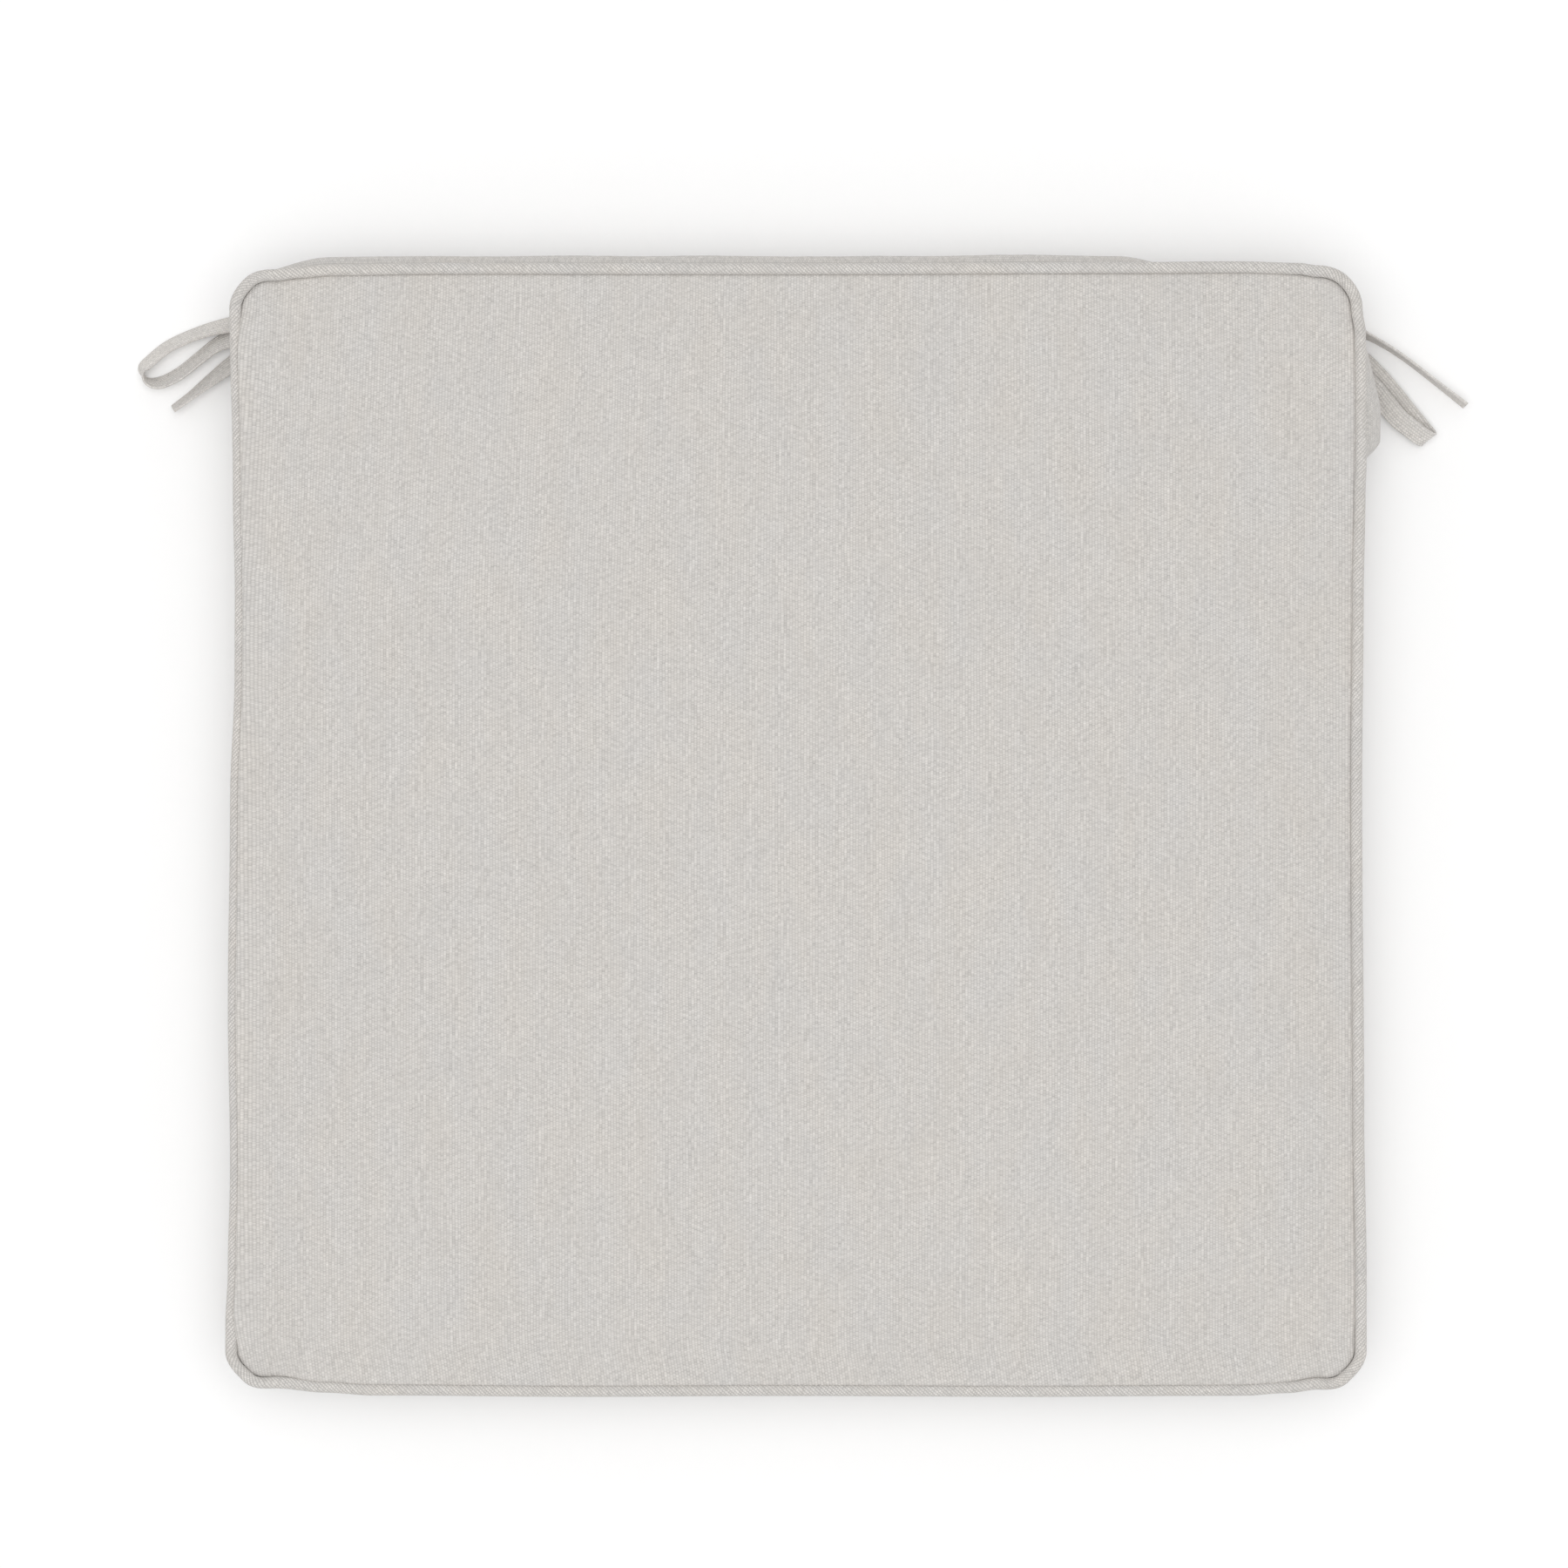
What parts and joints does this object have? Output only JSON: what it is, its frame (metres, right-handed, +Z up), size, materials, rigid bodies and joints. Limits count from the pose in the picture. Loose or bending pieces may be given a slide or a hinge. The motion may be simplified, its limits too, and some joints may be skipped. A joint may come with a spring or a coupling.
{
  "type": "chair seat pad",
  "caption": "Boxed square chair seat pad in pale ribbed canvas, with piped edges, a rear zip and flat fabric ties at the rear corners.",
  "frame": {"origin": "the middle of the underside, on the floor the pad rests on", "axes": "+Z up out of the top face, +Y to the rear edge that has the zip and the ties, +X to the right seen from above with the rear away"},
  "size_m": [0.6108, 0.5113, 0.0648],
  "materials": {
    "canvas": "matte",
    "piping_canvas": "matte",
    "tie_tape": "matte",
    "foam": "matte",
    "batting": "matte",
    "piping_cord": "matte",
    "zip_tape": "matte",
    "zip_coil": "satin",
    "slider_metal": "satin"
  },
  "bodies": {
    "pad": {"foam_core": "foam", "batting_top": "batting", "batting_bottom": "batting", "top_panel": "canvas", "bottom_panel": "canvas", "boxing_band": "canvas", "zipper_band_upper": "canvas", "zipper_band_lower": "canvas", "top_welt_cover": "piping_canvas", "top_welt_cord": "piping_cord", "bottom_welt_cover": "piping_canvas", "bottom_welt_cord": "piping_cord", "zipper_tape_upper": "zip_tape", "zipper_tape_lower": "zip_tape", "zipper_coil_upper": "zip_coil", "zipper_coil_lower": "zip_coil", "tie_left_loop": "tie_tape", "tie_left_tail": "tie_tape", "tie_right_tail": "tie_tape", "tie_right_loop": "tie_tape"},
    "slider": {"zipper_slider": "slider_metal"},
    "pull": {"zipper_pull": "slider_metal"}
  },
  "joints": [
    {"name": "zip_slide", "type": "slide", "parent": "pad", "child": "slider", "axis": [1, 0, 0], "range_m": [0, 0.4165]},
    {"name": "pull_flip", "type": "hinge", "parent": "slider", "child": "pull", "pos_m": [-0.20825, 0.25585, 0.0329], "axis": [0, 0, 1], "range_deg": [0, 175]}
  ]
}
